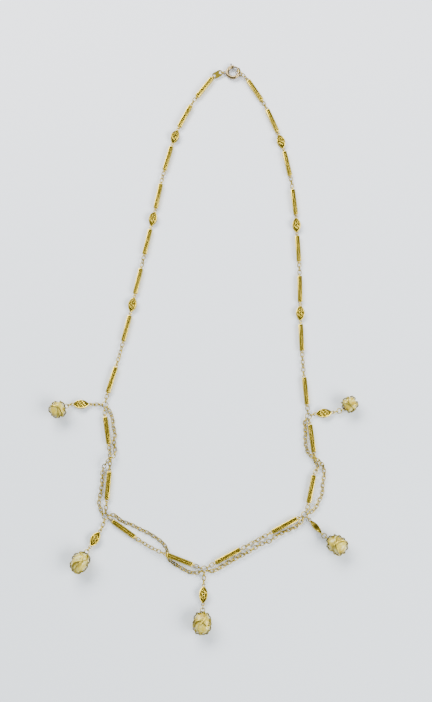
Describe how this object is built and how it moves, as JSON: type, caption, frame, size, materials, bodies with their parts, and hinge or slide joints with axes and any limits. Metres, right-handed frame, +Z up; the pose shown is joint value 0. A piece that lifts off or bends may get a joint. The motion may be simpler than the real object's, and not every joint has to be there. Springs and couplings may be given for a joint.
{
  "type": "festoon necklace",
  "caption": "Festoon necklace of grooved bar links, pierced ovals and looped cable chain with caged nugget drops, lying closed on a bolt-ring clasp.",
  "frame": {"origin": "centre of the necklace's box on the surface that it lies on", "axes": "+Y from the middle drop to the clasp, +X to the right as seen from above with the clasp at the top, +Z up from the surface"},
  "size_m": [0.1215, 0.2342, 0.0075],
  "materials": {
    "bar_metal": "polished gold-coloured rails, darker textured groove",
    "oval_metal": "gold-coloured pierced work, darkened in the recesses",
    "chain_metal": "gold-coloured wire, lightly tarnished",
    "clasp_metal": "polished gold-coloured metal",
    "cage_metal": "gold-coloured wire",
    "stone": "translucent pale yellow and whitish, tumbled"
  },
  "bodies": {
    "necklace": {"left_bar_1": "bar_metal", "left_bar_2": "bar_metal", "left_bar_3": "bar_metal", "left_bar_4": "bar_metal", "left_bar_5": "bar_metal", "left_bar_6": "bar_metal", "left_bar_7": "bar_metal", "left_bar_8": "bar_metal", "right_bar_1": "bar_metal", "right_bar_2": "bar_metal", "right_bar_3": "bar_metal", "right_bar_4": "bar_metal", "right_bar_5": "bar_metal", "right_bar_6": "bar_metal", "right_bar_7": "bar_metal", "right_bar_8": "bar_metal", "front_bar_1": "bar_metal", "front_bar_2": "bar_metal", "front_bar_3": "bar_metal", "front_bar_4": "bar_metal", "front_bar_5": "bar_metal", "front_bar_6": "bar_metal", "front_bar_7": "bar_metal", "front_bar_8": "bar_metal", "left_oval_1": "oval_metal", "left_oval_2": "oval_metal", "left_oval_3": "oval_metal", "right_oval_1": "oval_metal", "right_oval_2": "oval_metal", "right_oval_3": "oval_metal", "drop_oval_1": "oval_metal", "drop_oval_2": "oval_metal", "drop_oval_3": "oval_metal", "drop_oval_4": "oval_metal", "drop_oval_5": "oval_metal", "stone_1": "stone", "stone_2": "stone", "stone_3": "stone", "stone_4": "stone", "stone_5": "stone", "stone_cage_1": "cage_metal", "stone_cage_2": "cage_metal", "stone_cage_3": "cage_metal", "stone_cage_4": "cage_metal", "stone_cage_5": "cage_metal", "clasp_ring": "clasp_metal", "end_tag": "clasp_metal", "swag_chain_1": "chain_metal", "swag_chain_2": "chain_metal", "swag_chain_3": "chain_metal", "swag_chain_4": "chain_metal", "mid_chain_1": "chain_metal", "mid_chain_2": "chain_metal", "mid_chain_3": "chain_metal", "mid_chain_4": "chain_metal", "left_links": "chain_metal", "right_links": "chain_metal", "jump_rings": "chain_metal"},
    "bolt": {"clasp_trigger": "clasp_metal"}
  },
  "joints": [
    {"name": "clasp_bolt", "type": "hinge", "parent": "necklace", "child": "bolt", "pos_m": [0.01208, 0.11305, 0.00102], "axis": [-0.0872, 0, 0.9962], "range_deg": [0, 50], "stiffness_Nm_per_rad": 0.002}
  ]
}
